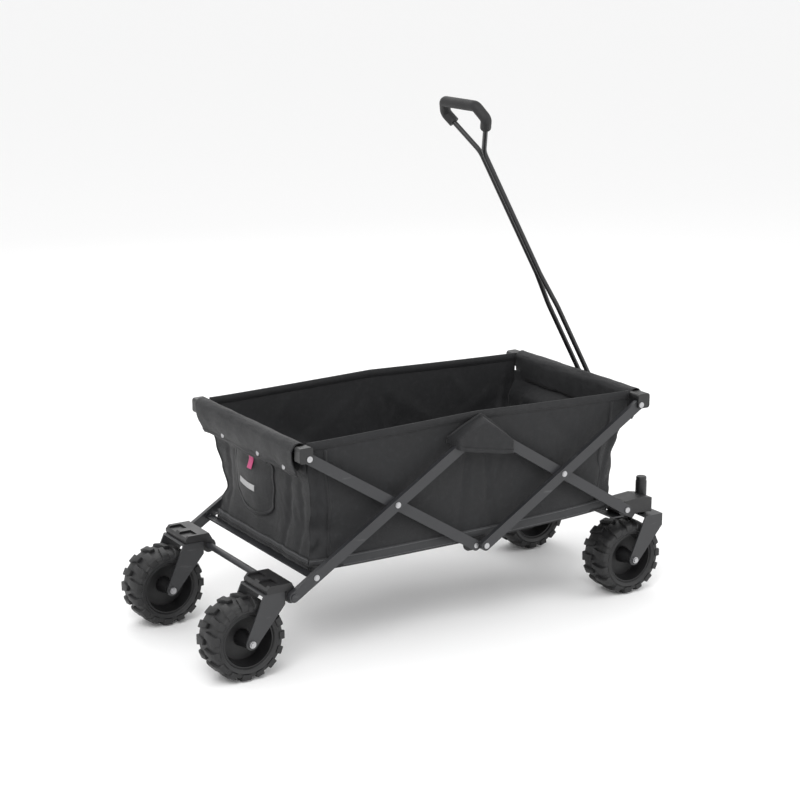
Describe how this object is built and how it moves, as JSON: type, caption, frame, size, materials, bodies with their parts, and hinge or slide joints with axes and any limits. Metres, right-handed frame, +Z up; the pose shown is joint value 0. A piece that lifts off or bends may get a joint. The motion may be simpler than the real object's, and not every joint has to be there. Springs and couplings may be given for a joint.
{
  "type": "folding camp wagon",
  "caption": "Folding camp wagon with a fabric basket on a scissor frame, four wide wheels, swivelling front casters and a long pull handle.",
  "frame": {"origin": "on the floor below the middle of the wagon's whole box", "axes": "+X towards the handle end, +Y to the left side, +Z up"},
  "size_m": [1.25, 0.557, 1.2228],
  "materials": {
    "frame_steel": "satin powder coat, dark grey",
    "yoke_steel": "satin powder coat, dark grey",
    "handle_steel": "satin powder coat, near black",
    "bright_steel": "bright zinc plate",
    "black_plastic": "moulded, fine grain",
    "rim_plastic": "moulded, satin",
    "bush_plastic": "nylon",
    "tyre_rubber": "matt, lightly worn",
    "grip_foam": "soft touch",
    "basket_fabric": "coated polyester weave, near black",
    "mat_fabric": "coated polyester over board"
  },
  "bodies": {
    "rear_base": {"rear_cross_tube": "frame_steel", "rear_blocks": "black_plastic", "rear_yokes": "yoke_steel", "rear_axle_bolts": "bright_steel"},
    "rear_left_wheel": {"rear_left_tyre": "tyre_rubber", "rear_left_rim": "rim_plastic", "rear_left_bushes": "bush_plastic"},
    "rear_right_wheel": {"rear_right_tyre": "tyre_rubber", "rear_right_rim": "rim_plastic", "rear_right_bushes": "bush_plastic"},
    "rear_outer_links": {"rear_outer_arms": "frame_steel", "rear_arm_rivets": "bright_steel", "rear_floor_bar": "frame_steel"},
    "rear_inner_links": {"rear_inner_arms": "frame_steel"},
    "top_hubs": {"top_hub_plates": "black_plastic", "top_hub_pins": "bright_steel", "basket_side_left": "basket_fabric", "basket_side_right": "basket_fabric", "basket_floor": "basket_fabric", "centre_board": "mat_fabric"},
    "bottom_hubs": {"bottom_hub_plates": "black_plastic", "bottom_hub_pins": "bright_steel", "bottom_hub_bar": "frame_steel"},
    "rear_top": {"rear_rail": "frame_steel", "rear_corners": "black_plastic", "rear_corner_pins": "bright_steel", "rear_rail_sleeve": "basket_fabric", "rear_panel": "basket_fabric"},
    "front_inner_links": {"front_inner_arms": "frame_steel", "front_foot_rivets": "bright_steel", "front_cross_tube": "frame_steel", "handle_bracket": "frame_steel"},
    "front_outer_links": {"front_outer_arms": "frame_steel", "front_arm_rivets": "bright_steel"},
    "front_top": {"front_rail": "frame_steel", "front_corners": "black_plastic", "front_corner_pins": "bright_steel", "front_rail_sleeve": "basket_fabric", "front_panel": "basket_fabric"},
    "front_base": {"front_blocks": "black_plastic", "front_tie_bar": "frame_steel", "stem_caps": "black_plastic"},
    "front_left_caster": {"front_left_yoke": "yoke_steel", "front_left_bolts": "bright_steel"},
    "front_right_caster": {"front_right_yoke": "yoke_steel", "front_right_bolts": "bright_steel"},
    "front_left_wheel": {"front_left_tyre": "tyre_rubber", "front_left_rim": "rim_plastic", "front_left_bushes": "bush_plastic"},
    "front_right_wheel": {"front_right_tyre": "tyre_rubber", "front_right_rim": "rim_plastic", "front_right_bushes": "bush_plastic"},
    "handle": {"handle_tube": "handle_steel", "handle_grip": "grip_foam", "handle_pin": "bright_steel"},
    "rear_outer_board": {"board_rear_outer": "mat_fabric"},
    "rear_inner_board": {"board_rear_inner": "mat_fabric"},
    "front_outer_board": {"board_front_outer": "mat_fabric"},
    "front_inner_board": {"board_front_inner": "mat_fabric"}
  },
  "joints": [
    {"name": "fold", "type": "hinge", "parent": "rear_base", "child": "rear_outer_links", "pos_m": [-0.4323, 0, 0.18708], "axis": [0, -1, 0], "range_deg": [0, 48], "deforming": ["basket_side_left", "basket_side_right", "basket_floor", "rear_panel", "front_panel"]},
    {"name": "rear_crossing", "type": "hinge", "parent": "rear_outer_links", "child": "rear_inner_links", "pos_m": [-0.16461, 0, 0.355], "axis": [0, -1, 0], "range_deg": [-96, 0]},
    {"name": "top_hub_level", "type": "hinge", "parent": "rear_outer_links", "child": "top_hubs", "pos_m": [0.05734, 0, 0.49423], "axis": [0, -1, 0], "range_deg": [-48, 0]},
    {"name": "bottom_hub_level", "type": "hinge", "parent": "rear_inner_links", "child": "bottom_hubs", "pos_m": [0.05734, 0, 0.21577], "axis": [0, -1, 0], "range_deg": [0, 48]},
    {"name": "rear_top_level", "type": "hinge", "parent": "rear_inner_links", "child": "rear_top", "pos_m": [-0.38655, 0, 0.49423], "axis": [0, -1, 0], "range_deg": [0, 48]},
    {"name": "front_inner_swing", "type": "hinge", "parent": "top_hubs", "child": "front_inner_links", "pos_m": [0.07734, 0, 0.49423], "axis": [0, -1, 0], "range_deg": [-48, 0]},
    {"name": "front_outer_swing", "type": "hinge", "parent": "front_inner_links", "child": "front_outer_links", "pos_m": [0.29929, 0, 0.355], "axis": [0, -1, 0], "range_deg": [0, 96]},
    {"name": "front_top_level", "type": "hinge", "parent": "front_outer_links", "child": "front_top", "pos_m": [0.52123, 0, 0.49423], "axis": [0, -1, 0], "range_deg": [-48, 0]},
    {"name": "front_base_level", "type": "hinge", "parent": "front_inner_links", "child": "front_base", "pos_m": [0.5026, 0, 0.22746], "axis": [0, -1, 0], "range_deg": [0, 48]},
    {"name": "rear_board_lift", "type": "hinge", "parent": "rear_top", "child": "rear_outer_board", "pos_m": [-0.37505, 0, 0.232], "axis": [0, -1, 0], "range_deg": [0, 86.4]},
    {"name": "rear_board_fold", "type": "hinge", "parent": "rear_outer_board", "child": "rear_inner_board", "pos_m": [-0.18005, 0, 0.232], "axis": [0, -1, 0], "range_deg": [-172.8, 0]},
    {"name": "front_board_lift", "type": "hinge", "parent": "front_top", "child": "front_outer_board", "pos_m": [0.47523, 0, 0.232], "axis": [0, -1, 0], "range_deg": [-86.4, 0]},
    {"name": "front_board_fold", "type": "hinge", "parent": "front_outer_board", "child": "front_inner_board", "pos_m": [0.30323, 0, 0.232], "axis": [0, -1, 0], "range_deg": [0, 172.8]},
    {"name": "handle_swing", "type": "hinge", "parent": "front_inner_links", "child": "handle", "pos_m": [0.5724, 0, 0.24496], "axis": [0, 1, 0], "range_deg": [0, 100]},
    {"name": "front_left_swivel", "type": "hinge", "parent": "front_base", "child": "front_left_caster", "pos_m": [0.59, 0.2016, 0.1], "axis": [0, 0, 1], "continuous": true},
    {"name": "front_left_spin", "type": "hinge", "parent": "front_left_caster", "child": "front_left_wheel", "pos_m": [0.532, 0.2016, 0.093], "axis": [0, 1, 0], "continuous": true},
    {"name": "rear_left_spin", "type": "hinge", "parent": "rear_base", "child": "rear_left_wheel", "pos_m": [-0.532, 0.2016, 0.093], "axis": [0, 1, 0], "continuous": true},
    {"name": "front_right_swivel", "type": "hinge", "parent": "front_base", "child": "front_right_caster", "pos_m": [0.59, -0.2016, 0.1], "axis": [0, 0, 1], "continuous": true},
    {"name": "front_right_spin", "type": "hinge", "parent": "front_right_caster", "child": "front_right_wheel", "pos_m": [0.532, -0.2016, 0.093], "axis": [0, 1, 0], "continuous": true},
    {"name": "rear_right_spin", "type": "hinge", "parent": "rear_base", "child": "rear_right_wheel", "pos_m": [-0.532, -0.2016, 0.093], "axis": [0, 1, 0], "continuous": true}
  ],
  "couplings": [
    {"joint": "rear_crossing", "follows": "fold", "ratio": -2},
    {"joint": "top_hub_level", "follows": "fold", "ratio": -1},
    {"joint": "bottom_hub_level", "follows": "fold", "ratio": 1},
    {"joint": "rear_top_level", "follows": "fold", "ratio": 1},
    {"joint": "front_inner_swing", "follows": "fold", "ratio": -1},
    {"joint": "front_outer_swing", "follows": "fold", "ratio": 2},
    {"joint": "front_top_level", "follows": "fold", "ratio": -1},
    {"joint": "front_base_level", "follows": "fold", "ratio": 1},
    {"joint": "rear_board_lift", "follows": "fold", "ratio": 1.8},
    {"joint": "rear_board_fold", "follows": "fold", "ratio": -3.6},
    {"joint": "front_board_lift", "follows": "fold", "ratio": -1.8},
    {"joint": "front_board_fold", "follows": "fold", "ratio": 3.6}
  ]
}
